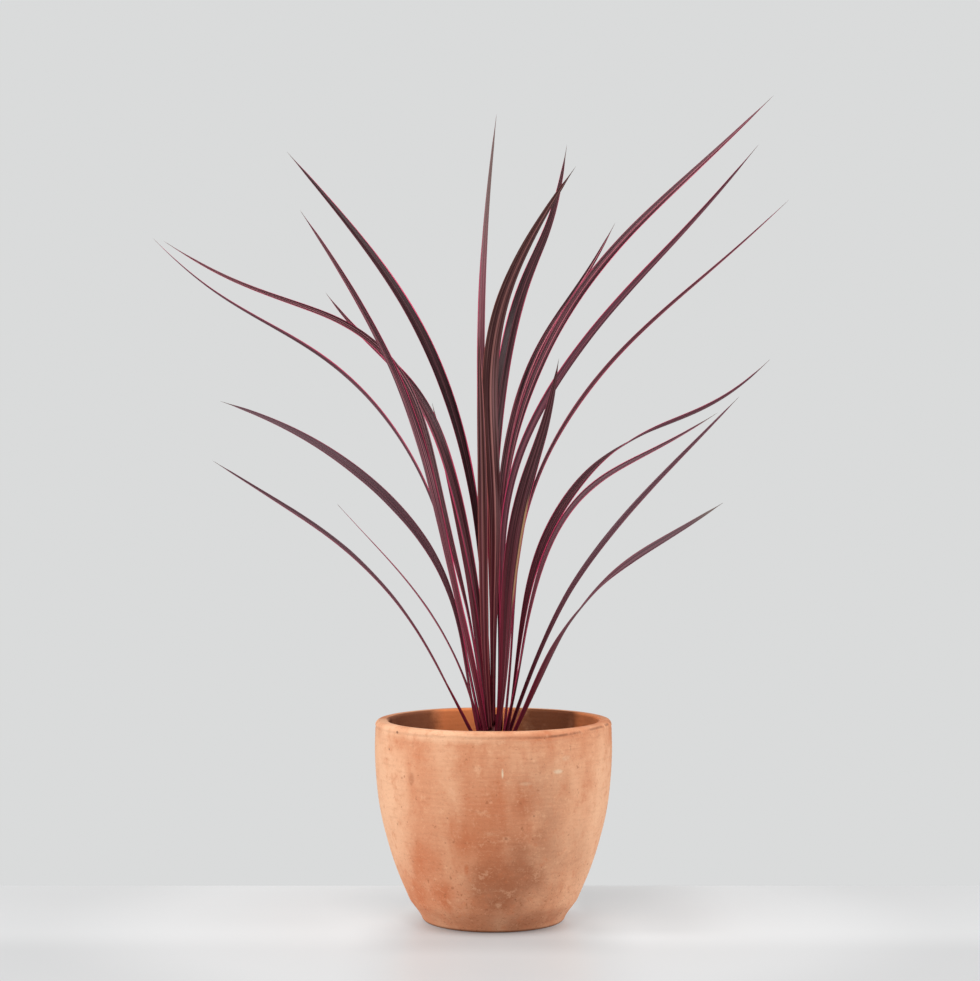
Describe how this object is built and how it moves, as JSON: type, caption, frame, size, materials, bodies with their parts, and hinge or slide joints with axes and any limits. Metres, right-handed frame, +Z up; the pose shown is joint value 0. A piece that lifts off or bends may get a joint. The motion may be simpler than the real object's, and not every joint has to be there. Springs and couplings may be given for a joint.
{
  "type": "potted cordyline",
  "caption": "Strap-leaved house plant with long dark red leaves fanning from a short stem in a round terracotta pot of soil.",
  "frame": {"origin": "centre of the pot's flat base", "axes": "+Z up along the pot's axis, +X the plant's right as pictured, +Y its back"},
  "size_m": [0.6447, 0.4227, 0.8369],
  "materials": {
    "terracotta": "unglazed fired clay, cloudy and slightly mottled",
    "potting_soil": "loose crumbly potting mix",
    "stem_bark": "short rough stem",
    "leaf_maroon": "satin dark maroon leaf with pink margins",
    "leaf_mauve": "satin mauve leaf underside with pink margins",
    "leaf_olive": "satin olive brown leaf with a pink midrib"
  },
  "bodies": {
    "root": {"pot": "terracotta", "soil": "potting_soil", "stem": "stem_bark", "leaf_01": "leaf_maroon", "leaf_02": "leaf_mauve", "leaf_03": "leaf_mauve", "leaf_04": "leaf_maroon", "leaf_05": "leaf_maroon", "leaf_06": "leaf_maroon", "leaf_07": "leaf_mauve", "leaf_08": "leaf_maroon", "leaf_09": "leaf_maroon", "leaf_10": "leaf_mauve", "leaf_11": "leaf_mauve", "leaf_12": "leaf_maroon", "leaf_13": "leaf_maroon", "leaf_14": "leaf_mauve", "leaf_15": "leaf_maroon", "leaf_16": "leaf_maroon", "leaf_17": "leaf_olive", "leaf_18": "leaf_maroon", "leaf_19": "leaf_maroon", "leaf_20": "leaf_olive", "leaf_21": "leaf_maroon", "leaf_22": "leaf_maroon", "leaf_23": "leaf_mauve"}
  },
  "joints": []
}
